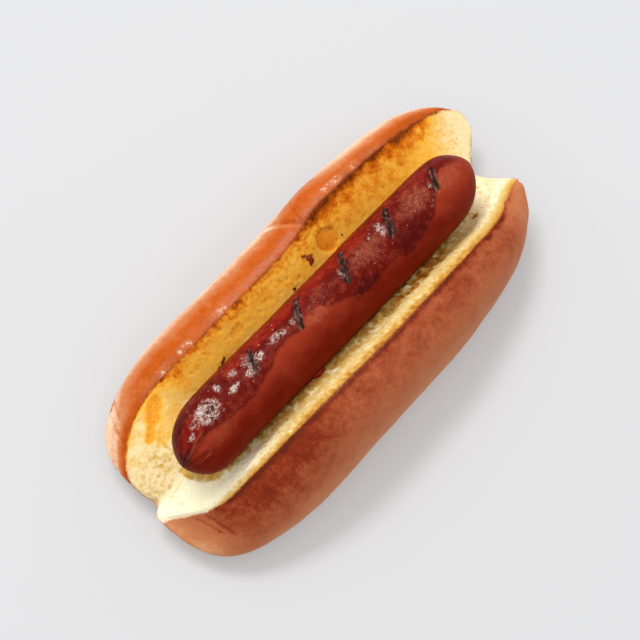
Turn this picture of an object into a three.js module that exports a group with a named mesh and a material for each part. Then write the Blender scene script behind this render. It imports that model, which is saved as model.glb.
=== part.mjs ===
// A hot dog in millimetres, +Z up: a top-split bun lying open along X, with a grilled sausage in its groove.
// The bun is one loaf whose two halves stay joined below the groove. +Y is the back half, -Y the front half.
import * as THREE from "three";

// Bun, over all.
const BUN_LENGTH = 154.2;
const BUN_WIDTH = 68.4;
const HINGE_HEIGHT = 14; // uncut crumb between the groove's bottom and the base
const HINGE_SHIFT = -0.75; // the groove runs just in front of the middle
const GROOVE_ROUNDING = 1.5;
const WIDEST_HEIGHT = 13; // height at which the sides bulge furthest
const FOOT_INSET = 9; // the flat base stops this far inside the sides
const SIDE_ROUNDNESS = 2.2; // exponent of the side's superellipse, 2 being an ellipse

// A fall keeps full size over the share "flat" of the half length, then rounds off to nothing at the tip.
// At each end of a half, cutShare is the part of the cut's depth left at the very tip, cutFall how the cut
// gets there, and swellFall how the crust closes in on it. The groove's floor stops notchDepth short of the
// tip, and notchSpread is how far up the cut face that reaches, as a share of its depth.
const BACK_LEFT = {
  cutShare: 0.39,
  cutFall: { flat: 0.65, power: 2.1, root: 1.56 },
  swellFall: { flat: 0.57, power: 1.16, root: 3.95 },
  notchDepth: 1.7,
  notchSpread: 0.38,
};
const BACK_RIGHT = {
  cutShare: 0.55,
  cutFall: { flat: 0.27, power: 2.53, root: 2.27 },
  swellFall: { flat: 0.36, power: 1.57, root: 3.86 },
  notchDepth: 11.1,
  notchSpread: 0.71,
};
const FRONT_LEFT = {
  cutShare: 0.35,
  cutFall: { flat: 0.68, power: 4.31, root: 0.47 },
  swellFall: { flat: 0.5, power: 1.72, root: 4.1 },
  notchDepth: 2.6,
  notchSpread: 0.32,
};
const FRONT_RIGHT = {
  cutShare: 0.72,
  cutFall: { flat: 0.51, power: 3.96, root: 0.3 },
  swellFall: { flat: 0.24, power: 1.67, root: 3.43 },
  notchDepth: 6.4,
  notchSpread: 1.16,
};
const NOTCH_POWER = 6;
const TIP_STAGGER = { left: 2.1, right: 5 }; // one half's tip stops short of the other's

// Each half leans out from the groove by lean degrees. Its cut face is cutDepth long. Lean and depth gain a
// little toward +X, where the side also tapers in.
const BACK = {
  side: 1,
  lean: 55.1,
  leanGain: 0,
  cutDepth: 26.3,
  cutGain: 3,
  taper: -0.9,
  left: BACK_LEFT,
  right: BACK_RIGHT,
};
const FRONT = {
  side: -1,
  lean: 41.8,
  leanGain: 3.9,
  cutDepth: 27.3,
  cutGain: -0.7,
  taper: 0.7,
  left: FRONT_LEFT,
  right: FRONT_RIGHT,
};

// Past this share of the half length the bun thins toward the table, and at the tips this much of its
// height is gone. What sinks also leans sideways, by so much for each millimetre down.
const SINK_START = 0.3;
const SINK_SHARE = { left: 0.6, right: 0.45 };
const SINK_POWER = 1.3;
const SINK_LEAN = { left: { x: 0.12, y: 0.25 }, right: { x: 0.46, y: 0.25 } };
const BUN_MIDDLE = { x: -2.16, y: -0.3 }; // brings the leaning bun back over its own middle

// Stations and shares of a cut face over which one size passes smoothly into another.
const LEAN_GAIN_SPAN = [-0.7, 0.3];
const CUT_GAIN_SPAN = [0, 0.3];
const TAPER_SPAN = [-0.35, 1];
const HALF_CHANGE_SPAN = [-0.25, 0.25];

// Sausage.
const SAUSAGE_LENGTH = 125;
const SAUSAGE_DIAMETER = 20.8;
const SAUSAGE_MIDDLE = { x: -2.71, y: -0.53, z: 27.4 };
const SAUSAGE_SLANT = -0.38; // its two ends lie this far to either side of its middle
const SAUSAGE_FALL = {
  left: { flat: 0.72, power: 3.39, root: 1.62 },
  right: { flat: 0.58, power: 4.73, root: 1.23 },
};
const SAUSAGE_SWAY = { left: -1.3, right: 1 }; // the tips bend this far off the line, toward +Y
const SWAY_SPAN = [0.72, 1];

// Fineness of the meshes.
const BUN_RINGS = 56;
const BUN_STEPS_PER_FACE = 34;
const SAUSAGE_RINGS = 32;
const SAUSAGE_STEPS = 22;

// Where the crust's outline changes from shoulder to lower side and from there to base, as shares of its run.
const SHOULDER_SHARE = 0.45;
const BASE_SHARE = 0.7;

const radians = THREE.MathUtils.degToRad;
const clamp = THREE.MathUtils.clamp;
const lerp = THREE.MathUtils.lerp;
const smoothstep = THREE.MathUtils.smoothstep;

function endOf(station) {
  return station < 0 ? "left" : "right";
}

// 1 over the flat stretch, then down a superellipse to 0 at the tip.
function fall(station, { flat, power, root }) {
  const past = clamp((Math.abs(station) - flat) / (1 - flat), 0, 1);
  return (1 - past ** power) ** (1 / root);
}

// Stations from -1 to 1 along X, closer together toward the rounded ends.
function stationAt(ring, rings) {
  return Math.sin((ring / rings - 0.5) * Math.PI);
}

// "across" runs from -1 at the back half's rim over 0 at the hinge to 1 at the front half's rim.
function halfAt(across) {
  return across <= 0 ? BACK : FRONT;
}

function cutDepth(half, station) {
  const full = half.cutDepth + half.cutGain * smoothstep(station, ...CUT_GAIN_SPAN);
  const { cutShare, cutFall } = half[endOf(station)];
  return full * (cutShare + (1 - cutShare) * fall(station, cutFall));
}

// How far a half's side stands from the hinge line.
function sideReach(half, station) {
  const taper = half.taper * smoothstep(station, ...TAPER_SPAN);
  return BUN_WIDTH / 2 - half.side * HINGE_SHIFT - taper;
}

function bunX(station, across) {
  const towardFront = smoothstep(across, ...HALF_CHANGE_SPAN);
  const shortHalf = station < 0 ? 1 - towardFront : towardFront;
  const end = endOf(station);
  const tip = BUN_LENGTH / 2 - TIP_STAGGER[end] * shortHalf;
  const depth = lerp(BACK[end].notchDepth, FRONT[end].notchDepth, towardFront);
  const spread = lerp(BACK[end].notchSpread, FRONT[end].notchSpread, towardFront);
  const notch = depth * Math.exp(-((across / spread) ** 2));
  return station * tip - Math.sign(station) * notch * Math.abs(station) ** NOTCH_POWER;
}

// A point on a cut face, "out" being its distance from the hinge.
function cutPoint(half, station, out) {
  const lean = radians(half.lean + half.leanGain * smoothstep(station, ...LEAN_GAIN_SPAN));
  const rise = Math.hypot(out * Math.cos(lean), GROOVE_ROUNDING) - GROOVE_ROUNDING;
  return { y: out * Math.sin(lean), z: HINGE_HEIGHT + rise };
}

function crumbPoint(station, across) {
  const half = halfAt(across);
  const { y, z } = cutPoint(half, station, Math.abs(across) * cutDepth(half, station));
  return new THREE.Vector3(bunX(station, across), HINGE_SHIFT + half.side * y, z);
}

// The crust at full size: from the rim over the shoulder to the widest height, then in under the foot and
// along the flat base. "run" goes from 0 at the rim to 1 below the hinge.
function crustOutline(half, station, run) {
  const rim = cutPoint(half, station, cutDepth(half, station));
  const reach = sideReach(half, station);
  const foot = reach - FOOT_INSET;
  const bend = 2 / SIDE_ROUNDNESS;
  if (run <= SHOULDER_SHARE) {
    const turn = (run / SHOULDER_SHARE) * (Math.PI / 2);
    return {
      y: rim.y + (reach - rim.y) * Math.sin(turn) ** bend,
      z: WIDEST_HEIGHT + (rim.z - WIDEST_HEIGHT) * Math.max(Math.cos(turn), 0) ** bend,
    };
  }
  if (run < BASE_SHARE) {
    const turn = ((run - SHOULDER_SHARE) / (BASE_SHARE - SHOULDER_SHARE)) * (Math.PI / 2);
    return {
      y: foot + FOOT_INSET * Math.cos(turn) ** bend,
      z: WIDEST_HEIGHT - WIDEST_HEIGHT * Math.sin(turn) ** bend,
    };
  }
  return { y: (foot * (1 - run)) / (1 - BASE_SHARE), z: 0 };
}

// Toward the tips the crust closes in on the cut face, so that both meet in one edge at the very end.
function crustPoint(station, across) {
  const half = halfAt(across);
  const crumb = crumbPoint(station, across);
  const { y, z } = crustOutline(half, station, 1 - Math.abs(across));
  const full = new THREE.Vector3(crumb.x, HINGE_SHIFT + half.side * y, z);
  return crumb.lerp(full, fall(station, half[endOf(station)].swellFall));
}

function closedMesh(points, triangles) {
  const geometry = new THREE.BufferGeometry().setFromPoints(points);
  geometry.setIndex(triangles);
  geometry.computeVertexNormals();
  return geometry;
}

// A point of the straight loaf, moved to where it lies once the ends have sunk.
function sunk(point, station) {
  const end = endOf(station);
  const pastStart = clamp((Math.abs(station) - SINK_START) / (1 - SINK_START), 0, 1);
  const sink = point.z * SINK_SHARE[end] * pastStart ** SINK_POWER;
  const lean = SINK_LEAN[end];
  return new THREE.Vector3(
    BUN_MIDDLE.x + point.x + lean.x * sink,
    BUN_MIDDLE.y + point.y + lean.y * sink,
    point.z - sink,
  );
}

// Two sheets over the same grid of stations, the crumb above and the crust below. They share the points of
// both rims and of both end rings.
function bunGeometry() {
  const points = [];
  const crumb = [];
  const crust = [];
  for (let ring = 0; ring <= BUN_RINGS; ring += 1) {
    const station = stationAt(ring, BUN_RINGS);
    crumb.push([]);
    crust.push([]);
    for (let step = 0; step <= BUN_STEPS_PER_FACE; step += 1) {
      const across = (2 * step) / BUN_STEPS_PER_FACE - 1;
      const shared = [0, BUN_RINGS].includes(ring) || [0, BUN_STEPS_PER_FACE].includes(step);
      crumb[ring].push(points.length);
      points.push(sunk(crumbPoint(station, across), station));
      crust[ring].push(shared ? crumb[ring][step] : points.length);
      if (!shared) points.push(sunk(crustPoint(station, across), station));
    }
  }
  const triangles = [];
  for (let ring = 0; ring < BUN_RINGS; ring += 1) {
    for (let step = 0; step < BUN_STEPS_PER_FACE; step += 1) {
      const [a, b, c, d] = quad(crumb, ring, step);
      triangles.push(a, c, b, b, c, d);
      const [e, f, g, h] = quad(crust, ring, step);
      triangles.push(e, f, g, f, h, g);
    }
  }
  return closedMesh(points, triangles);
}

function quad(sheet, ring, step) {
  return [sheet[ring][step], sheet[ring + 1][step], sheet[ring][step + 1], sheet[ring + 1][step + 1]];
}

// Rings round the sausage's axis between a single point at each tip.
function sausageGeometry() {
  const points = [];
  const rings = [];
  for (let ring = 0; ring <= SAUSAGE_RINGS; ring += 1) {
    const station = stationAt(ring, SAUSAGE_RINGS);
    const atTip = ring === 0 || ring === SAUSAGE_RINGS;
    const radius = atTip ? 0 : (SAUSAGE_DIAMETER / 2) * fall(station, SAUSAGE_FALL[endOf(station)]);
    const x = SAUSAGE_MIDDLE.x + (SAUSAGE_LENGTH / 2) * station;
    const sway = SAUSAGE_SWAY[endOf(station)] * smoothstep(Math.abs(station), ...SWAY_SPAN);
    const y = SAUSAGE_MIDDLE.y + SAUSAGE_SLANT * station + sway;
    rings.push([]);
    for (let step = 0; step < SAUSAGE_STEPS; step += 1) {
      const turn = (step / SAUSAGE_STEPS) * 2 * Math.PI;
      rings[ring].push(atTip && step > 0 ? rings[ring][0] : points.length);
      if (atTip && step > 0) continue;
      const z = SAUSAGE_MIDDLE.z + radius * Math.sin(turn);
      points.push(new THREE.Vector3(x, y + radius * Math.cos(turn), z));
    }
  }
  const triangles = [];
  for (let ring = 0; ring < SAUSAGE_RINGS; ring += 1) {
    for (let step = 0; step < SAUSAGE_STEPS; step += 1) {
      const next = (step + 1) % SAUSAGE_STEPS;
      const [a, b] = [rings[ring][step], rings[ring + 1][step]];
      const [c, d] = [rings[ring][next], rings[ring + 1][next]];
      if (ring > 0) triangles.push(a, c, b);
      if (ring > 0 && ring < SAUSAGE_RINGS - 1) triangles.push(b, c, d);
      if (ring === 0) triangles.push(a, d, b);
    }
  }
  return closedMesh(points, triangles);
}

const bun = new THREE.Mesh(
  bunGeometry(),
  new THREE.MeshStandardMaterial({ color: "#b4663a", roughness: 0.45, metalness: 0 }),
);
bun.name = "bun";

const sausage = new THREE.Mesh(
  sausageGeometry(),
  new THREE.MeshStandardMaterial({ color: "#7c1a0c", roughness: 0.35, metalness: 0 }),
);
sausage.name = "sausage";

const hotDog = new THREE.Group();
hotDog.add(bun, sausage);

export default hotDog;
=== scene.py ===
import math
from functools import partial

import bpy
import numpy as np
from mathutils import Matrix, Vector, noise


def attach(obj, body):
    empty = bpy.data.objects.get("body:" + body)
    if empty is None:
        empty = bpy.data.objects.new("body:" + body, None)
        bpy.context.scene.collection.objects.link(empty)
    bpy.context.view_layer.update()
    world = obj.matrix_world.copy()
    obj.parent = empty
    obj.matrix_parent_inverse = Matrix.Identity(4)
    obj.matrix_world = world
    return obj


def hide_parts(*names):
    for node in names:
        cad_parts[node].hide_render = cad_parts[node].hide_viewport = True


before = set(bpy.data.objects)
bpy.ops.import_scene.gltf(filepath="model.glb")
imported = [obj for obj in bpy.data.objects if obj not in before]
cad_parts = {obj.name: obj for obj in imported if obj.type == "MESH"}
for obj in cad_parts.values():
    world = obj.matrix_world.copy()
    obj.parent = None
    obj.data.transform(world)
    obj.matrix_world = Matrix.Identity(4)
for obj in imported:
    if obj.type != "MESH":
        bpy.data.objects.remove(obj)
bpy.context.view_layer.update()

# ---- Bun -------------------------------------------------
# A soft top-split roll of enriched dough, brushed with egg and baked to a glossy brown. It was cut
# from the top, opened and toasted on the cut faces. The halves still hang together under the
# groove, so the bun is one closed skin: open crumb above, crust below. Sizes are in millimetres.

MM = 0.001
HALF_LENGTH = 77.1
HALF_WIDTH = 34.2
HINGE_HEIGHT = 14
HINGE_SHIFT = -0.75
GROOVE_ROUNDING = 1.5
WIDEST_HEIGHT = 13
FOOT_INSET = 9
SIDE_ROUNDNESS = 2.2

# Pairs are for the back half (+Y) and the front half (-Y), or for the left and the right end. Pairs
# of pairs give the back half's two ends, then the front half's. Stations run from -1 at the left
# tip to 1 at the right, and a gain or taper comes in over its span of stations.
SIDE = (1, -1)
LEAN = (55.1, 41.8)
LEAN_GAIN, LEAN_GAIN_SPAN = (0, 3.9), (-0.7, 0.3)
CUT_DEPTH = (26.3, 27.3)
CUT_GAIN, CUT_GAIN_SPAN = (3.0, -0.7), (0, 0.3)
TAPER, TAPER_SPAN = (-0.9, 0.7), (-0.35, 1)
TIP_STAGGER = (2.1, 5.0)
HINGE_EASE = 0.25
END_CUT_SHARE = ((0.39, 0.55), (0.35, 0.72))
NOTCH_DEPTH = ((1.7, 11.1), (2.6, 6.4))
NOTCH_SPREAD = ((0.38, 0.71), (0.32, 1.16))
NOTCH_POWER = 6

# Ends round off past a flat share of the half length, down a superellipse: (flat, power, root).
CUT_FALL = (((0.65, 2.1, 1.56), (0.27, 2.53, 2.27)), ((0.68, 4.31, 0.47), (0.51, 3.96, 0.3)))
SWELL_FALL = (((0.57, 1.16, 3.95), (0.36, 1.57, 3.86)), ((0.5, 1.72, 4.1), (0.24, 1.67, 3.43)))

# Past this share of the half length the bun thins toward the table, leaning aside as it sinks.
SINK_START, SINK_POWER = 0.3, 1.3
SINK_SHARE = (0.6, 0.45)
SINK_LEAN_X, SINK_LEAN_Y = (0.12, 0.46), 0.25
BUN_MIDDLE = (-2.16, -0.3)

# Share of the crust's run at which the shoulder ends and at which the flat base begins.
SHOULDER_SHARE = 0.55
BASE_SHARE = 0.85
BUN_RINGS = 400
BUN_STEPS = 118
OUTLINE_SAMPLES = 20001


def unit(value):
    return np.clip(value, 0, 1)


def smooth(value, start, end):
    """0 up to start, 1 from end on, easing between them."""
    share = unit((value - start) / (end - start))
    return share * share * (3 - 2 * share)


def fade(value, start, end):
    """1 up to start, 0 from end on, easing between them."""
    return 1 - smooth(value, start, end)


def hump(value, start, end, edge):
    """1 from start to end, easing to 0 over edge mm outside them."""
    return smooth(value, start - edge, start) * fade(value, end, end + edge)


def fall(station, left, right):
    """1 over the flat stretch, then down to 0 at the tip."""
    flat, power, root = (np.where(station < 0, *pair) for pair in zip(left, right))
    past = unit((np.abs(station) - flat) / (1 - flat))
    return (1 - past**power) ** (1 / root)


def half_of(across, pair):
    return np.where(across > 0, pair[1], pair[0])


def end_of(station, pair):
    return np.where(station < 0, pair[0], pair[1])


def toward_front(across):
    """0 on the back half, 1 on the front half, easing across the hinge."""
    return smooth(across, -HINGE_EASE, HINGE_EASE)


def blend_of(station, across, pairs):
    back, front = (end_of(station, pair) for pair in pairs)
    return back + (front - back) * toward_front(across)


def even_stations(count, left, right, fatness):
    """Stations from -1 to 1, evenly spaced along the rounded outline."""
    fine = np.linspace(-1, 1, OUTLINE_SAMPLES)
    width = fatness * fall(fine, left, right)
    run = np.append(0, np.cumsum(np.hypot(np.diff(fine), np.diff(width))))
    return np.interp(np.linspace(0, run[-1], count), run, fine)


def cut_depth(station, across):
    full = half_of(across, CUT_DEPTH) + half_of(across, CUT_GAIN) * smooth(station, *CUT_GAIN_SPAN)
    end = half_of(across, [end_of(station, pair) for pair in END_CUT_SHARE])
    return full * (end + (1 - end) * half_of(across, [fall(station, *pair) for pair in CUT_FALL]))


def cut_point(station, across, out):
    """Place on a cut face, out mm from the hinge: (distance from the hinge plane, height)."""
    lean = half_of(across, LEAN) + half_of(across, LEAN_GAIN) * smooth(station, *LEAN_GAIN_SPAN)
    lean = np.radians(lean)
    rise = np.hypot(out * np.cos(lean), GROOVE_ROUNDING) - GROOVE_ROUNDING
    return out * np.sin(lean), HINGE_HEIGHT + rise


def bun_x(station, across):
    front_share = toward_front(across)
    short_half = np.where(station < 0, 1 - front_share, front_share)
    tip = HALF_LENGTH - end_of(station, TIP_STAGGER) * short_half
    spread = blend_of(station, across, NOTCH_SPREAD)
    notch = blend_of(station, across, NOTCH_DEPTH) * np.exp(-((across / spread) ** 2))
    return station * tip - np.sign(station) * notch * np.abs(station) ** NOTCH_POWER


def crumb_sheet(station, across):
    y, z = cut_point(station, across, np.abs(across) * cut_depth(station, across))
    y = HINGE_SHIFT + half_of(across, SIDE) * y
    return np.stack([bun_x(station, across), y, z], axis=-1)


def crust_sheet(station, across):
    """The crust hugs the cut faces at the tips and swells to full size between them."""
    rim_y, rim_z = cut_point(station, across, cut_depth(station, across))
    reach = HALF_WIDTH - half_of(across, SIDE) * HINGE_SHIFT
    reach = reach - half_of(across, TAPER) * smooth(station, *TAPER_SPAN)
    foot = reach - FOOT_INSET
    bend = 2 / SIDE_ROUNDNESS
    run = 1 - np.abs(across)
    shoulder = unit(run / SHOULDER_SHARE) * math.pi / 2
    side = unit((run - SHOULDER_SHARE) / (BASE_SHARE - SHOULDER_SHARE)) * math.pi / 2
    y = np.where(
        run < SHOULDER_SHARE,
        rim_y + (reach - rim_y) * np.sin(shoulder) ** bend,
        np.where(run < BASE_SHARE, foot + FOOT_INSET * np.abs(np.cos(side)) ** bend,
                 foot * (1 - run) / (1 - BASE_SHARE)),
    )
    z = np.where(
        run < SHOULDER_SHARE,
        WIDEST_HEIGHT + (rim_z - WIDEST_HEIGHT) * np.abs(np.cos(shoulder)) ** bend,
        WIDEST_HEIGHT * (1 - np.sin(side) ** bend),
    )
    full = np.stack([bun_x(station, across), HINGE_SHIFT + half_of(across, SIDE) * y, z], axis=-1)
    crumb = crumb_sheet(station, across)
    swell = half_of(across, [fall(station, *pair) for pair in SWELL_FALL])
    return crumb + (full - crumb) * swell[..., None]


def sunk(sheet, station):
    """Thins the ends toward the table, leaning them aside."""
    past = unit((np.abs(station) - SINK_START) / (1 - SINK_START))
    sink = sheet[..., 2] * end_of(station, SINK_SHARE) * past**SINK_POWER
    x = BUN_MIDDLE[0] + sheet[..., 0] + end_of(station, SINK_LEAN_X) * sink
    y = BUN_MIDDLE[1] + sheet[..., 1] + SINK_LEAN_Y * sink
    return np.stack([x, y, sheet[..., 2] - sink], axis=-1)


def distance_from_edges(sheet):
    """Millimetres along the sheet to the nearest of its borders."""
    across_run = np.linalg.norm(np.diff(sheet, axis=1), axis=-1)
    from_back = np.pad(np.cumsum(across_run, axis=1), ((0, 0), (1, 0)))
    from_front = from_back[:, -1:] - from_back
    along_run = np.linalg.norm(np.diff(sheet, axis=0), axis=-1)
    from_left = np.pad(np.cumsum(along_run, axis=0), ((1, 0), (0, 0)))
    from_right = from_left[-1:] - from_left
    return np.minimum(from_back, from_front), np.minimum(from_left, from_right)


def point_normals(points, faces):
    corners = points[faces]
    normals = np.cross(corners[:, 2] - corners[:, 0], corners[:, 3] - corners[:, 1])
    total = np.zeros_like(points)
    for corner in range(4):
        np.add.at(total, faces[:, corner], normals)
    return total / np.maximum(np.linalg.norm(total, axis=1, keepdims=True), 1e-12)


def lumps(points, size, octaves=1):
    """Smooth noise, about -1 to 1, with lumps size mm across."""
    return np.array([noise.fractal(p, 1.0, 2.0, octaves) for p in points / size])


BUBBLE_SHUFFLE = 7.3


def bubbles(points, spacing, smallest, largest):
    """0 outside to 1 in the middle of round bubbles about spacing mm apart."""
    shares = np.empty(len(points))
    for index, place in enumerate(points / spacing):
        distances, centres = noise.voronoi(place)
        chance = abs(noise.cell(centres[0] * BUBBLE_SHUFFLE))
        radius = smallest + (largest - smallest) * chance**2
        shares[index] = max(0.0, 1 - (distances[0] * spacing / radius) ** 2)
    return shares


def streak(along, aside, start, end, width):
    """1 on a line drawn from start to end on a skin, falling to 0 at half its width."""
    run = np.subtract(end, start)
    share = unit(((along - start[0]) * run[0] + (aside - start[1]) * run[1]) / (run @ run))
    away = np.hypot(along - start[0] - share * run[0], aside - start[1] - share * run[1])
    return fade(away, 0, width / 2)


def spot(along, aside, centre, half_size):
    """1 in the middle of an oval spot, 0 on its edge and below 0 outside."""
    return 1 - np.hypot((along - centre[0]) / half_size[0], (aside - centre[1]) / half_size[1])


station = even_stations(BUN_RINGS + 1, *SWELL_FALL[0], HALF_WIDTH / HALF_LENGTH)[:, None]
across = np.linspace(-1, 1, BUN_STEPS + 1)[None, :]
station, across = np.broadcast_arrays(station, across)
crumb = sunk(crumb_sheet(station, across), station)
crust = sunk(crust_sheet(station, across), station)

# The two sheets share the points of the rims and of the end rings.
inner = np.zeros(station.shape, bool)
inner[1:-1, 1:-1] = True
crumb_index = np.arange(station.size).reshape(station.shape)
crust_index = crumb_index.copy()
crust_index[inner] = station.size + np.arange(inner.sum())


def quads(index):
    corners = index[:-1, :-1], index[:-1, 1:], index[1:, 1:], index[1:, :-1]
    return np.stack(corners, axis=-1).reshape(-1, 4)


def both_sheets(on_crumb, on_crust):
    return np.concatenate([on_crumb.ravel(), on_crust[inner]])


bun_points = np.concatenate([crumb.reshape(-1, 3), crust[inner]])
bun_faces = np.concatenate([quads(crumb_index), quads(crust_index)[:, ::-1]])
crumb_rim, crumb_end = distance_from_edges(crumb)
crust_rim, crust_end = distance_from_edges(crust)

# Every point's place in mm: u along the bun, out from the hinge, and how far it is from the rim,
# from the end and from the nearer of both. On the crumb rim_mm and edge_mm are negative.
edge_mm = both_sheets(-np.minimum(crumb_rim, crumb_end), np.minimum(crust_rim, crust_end))
rim_mm = both_sheets(-crumb_rim, crust_rim)
end_mm = both_sheets(crumb_end, crust_end)
rim_out = cut_depth(station, across)
out_mm = both_sheets(np.abs(across) * rim_out, rim_out + crust_rim)
u_mm = both_sheets(bun_x(station, across), bun_x(station, across))
across_all = both_sheets(across, across)
is_back = smooth(-across_all, -0.02, 0.02)
is_front = 1 - is_back
signed_out = out_mm * (is_back - is_front)

# Shape as baked and torn: slow swells all over, sponge and pores on the crumb, fine crinkles on the
# crust. The torn front crumb is puffed up between the sausage and its rim, and the back crust
# bulges beside its middle folds.
SWELL_SIZE, SWELL_HEIGHT = 24, 0.35
LUMP_HEIGHT = 0.16
SPONGE_SIZE, SPONGE_HEIGHT = 1.3, 0.12
PORE_SPACING, PORE_SMALLEST, PORE_LARGEST, PORE_DEPTH = 2.4, 0.3, 1.1, 0.35
CRINKLE_SIZE, CRINKLE_HEIGHT = 2.6, 0.045
PUFF_HEIGHT, PUFF_MIDDLE, PUFF_REACH = 0.9, -4.2, 2.8
SHOULDER_HEIGHT = 0.9

# Folds pressed into the crust: start and end as (u, mm from the rim), width and depth.
BACK_FOLDS = (
    ((-69, 1), (-65.5, 9), 1.6, 0.5), ((-66, 1.5), (-61, 11), 1.4, 0.4),
    ((13, 0.5), (8, 13), 1.8, 0.45), ((13, 0.5), (17.5, 12), 1.5, 0.35),
)
FRONT_FOLDS = (((-71, 1.5), (-69, 8), 1.4, 0.35), ((-68.5, 2), (-67, 10), 1.3, 0.3))

# Craters of big bubbles in the crumb: centre as (u, out), half size, depth, raggedness and edge.
CRATERS = (
    ((16, 20), (3.9, 3.9), 0.5, 0.06, 0.12),
    ((-23, 20), (3.2, 1.8), 0.2, 0.25, 0.4),
    ((11, -17), (3, 3.2), 0.45, 0.25, 0.4),
)
# One long crater, torn in two strokes: start, end and width of each.
LONG_CRATER = (((-54.5, 23), (-58, 19.5), 7.4), ((-55, 23), (-63, 15), 4.4))
LONG_CRATER_DEPTH = 0.6

normals = point_normals(bun_points, bun_faces)
above_base = smooth(bun_points[:, 2], 0.2, 7)
on_crumb = smooth(-edge_mm, 0.0, 1.2)
on_crust = smooth(edge_mm, 0.0, 1.5)
tone_25, tone_7, tone_3 = (lumps(bun_points, *lump) for lump in ((25, 1), (7, 2), (3, 2)))
tone_1 = lumps(bun_points + 40, 1.1, 2)
pores = bubbles(bun_points, PORE_SPACING, PORE_SMALLEST, PORE_LARGEST) * on_crumb

height = SWELL_HEIGHT * lumps(bun_points + 9, SWELL_SIZE) * above_base
height += LUMP_HEIGHT * tone_7 * above_base
height += SPONGE_HEIGHT * lumps(bun_points, SPONGE_SIZE, 2) * smooth(-edge_mm, -0.3, 1.0)
height -= PORE_DEPTH * pores
height += CRINKLE_HEIGHT * lumps(bun_points, CRINKLE_SIZE, 2) * on_crust * above_base
puff = np.exp(-(((rim_mm - PUFF_MIDDLE) / PUFF_REACH) ** 2)) * hump(u_mm, -55, 55, 15)
height += PUFF_HEIGHT * puff * is_front * on_crumb
shoulder = hump(rim_mm, 1, 9, 4) * smooth(u_mm, 9, 15) * fade(u_mm, 22, 50)
height += SHOULDER_HEIGHT * shoulder * is_back
folds = np.zeros(len(bun_points))
for fold_side, side_folds in ((is_back, BACK_FOLDS), (is_front, FRONT_FOLDS)):
    for start, end, width, depth in side_folds:
        fold = streak(u_mm + 0.3 * tone_3, rim_mm, start, end, width) * fold_side * on_crust
        height -= depth * fold
        folds = np.maximum(folds, fold)
crater_shares = []
for place, half_size, depth, raggedness, edge in CRATERS:
    crater = spot(u_mm, signed_out, place, half_size) + raggedness * tone_1
    crater_shares.append(smooth(crater, 0, edge) * on_crumb)
    height -= depth * crater_shares[-1]
round_crater, back_crater, front_crater = crater_shares
strokes = [streak(u_mm, signed_out + 0.5 * tone_3, *stroke) for stroke in LONG_CRATER]
long_crater = np.maximum(*strokes) * on_crumb
height -= LONG_CRATER_DEPTH * long_crater
bun_points = bun_points + normals * height[:, None]

# The right end is blunt: the front crust bulges below its corner, the back crumb past its middle,
# and the front rim is drawn in.
CORNER_BULGE, BACK_TIP_OUT, FRONT_TIP_IN = 0.9, 1.4, 1.0
height = CORNER_BULGE * is_front * on_crust * hump(rim_mm, 2, 9, 3) * smooth(u_mm, 54, 70)
bun_points = bun_points + normals * height[:, None]
at_tip = smooth(u_mm, 58, 76)
bun_points[:, 0] += at_tip * BACK_TIP_OUT * is_back * hump(out_mm, 5, 12, 4)
bun_points[:, 0] -= at_tip * FRONT_TIP_IN * is_front * smooth(rim_mm, -3, 0) * fade(rim_mm, 0, 3)

# The crumb wells up under both ends of the sausage: u, height, reach along and reach out.
END_MOUNDS = ((-60, 8.5, 11, 17), (58, 4, 10, 12))
for mound_u, mound_height, along_reach, out_reach in END_MOUNDS:
    swelling = np.exp(-(((u_mm - mound_u) / along_reach) ** 2) - (out_mm / out_reach) ** 2)
    bun_points[:, 2] += mound_height * (swelling * on_crumb)

# The sausage presses its own bed into the crumb.
SAUSAGE_RADIUS = 10.4
SAUSAGE_X, SAUSAGE_Y, SAUSAGE_Z = -2.71, -0.53, 27.4
SAUSAGE_HALF_LENGTH = 62.5
SAUSAGE_SLANT = -0.38
SAUSAGE_SWAY, SWAY_SPAN = (1.3, 1.0), (0.72, 1)
SAUSAGE_LEFT, SAUSAGE_RIGHT = (0.72, 3.39, 1.62), (0.58, 4.73, 1.23)
BED_END = 0.985
BED_PRESSED, BED_REACH = 0.4, 3.4
BED_GAP = 0.05


def sausage_axis(station):
    """Middle of the sausage at a station: across and up."""
    sway = SAUSAGE_SWAY[1] * smooth(station, *SWAY_SPAN)
    sway = sway - SAUSAGE_SWAY[0] * smooth(-station, *SWAY_SPAN)
    across = SAUSAGE_Y + SAUSAGE_SLANT * station + sway
    return np.stack([across, np.full_like(across, SAUSAGE_Z)], axis=-1)


along = np.clip((bun_points[:, 0] - SAUSAGE_X) / SAUSAGE_HALF_LENGTH, -1, 1)
bed_radius = SAUSAGE_RADIUS * fall(along, SAUSAGE_LEFT, SAUSAGE_RIGHT) + BED_GAP
from_axis = bun_points[:, 1:] - sausage_axis(along)
distance = np.linalg.norm(from_axis, axis=1)
gap = distance - bed_radius
touching = (edge_mm < 0) & (np.abs(along) < BED_END)
pull = np.where(gap < 0, gap, gap * fade(gap, BED_PRESSED, BED_REACH)) * touching
bun_points[:, 1:] -= from_axis / distance[:, None] * pull[:, None]
bun_points[:, 2] = np.maximum(bun_points[:, 2], 0)
bed = fade(gap, BED_PRESSED, 4.5) * hump(along, -0.97, 0.95, 0.06)


def mottled(level, by_3, by_1=0):
    """A level broken up by blotches 3 mm and 1 mm across."""
    return level + by_3 * tone_3 + by_1 * tone_1


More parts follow.
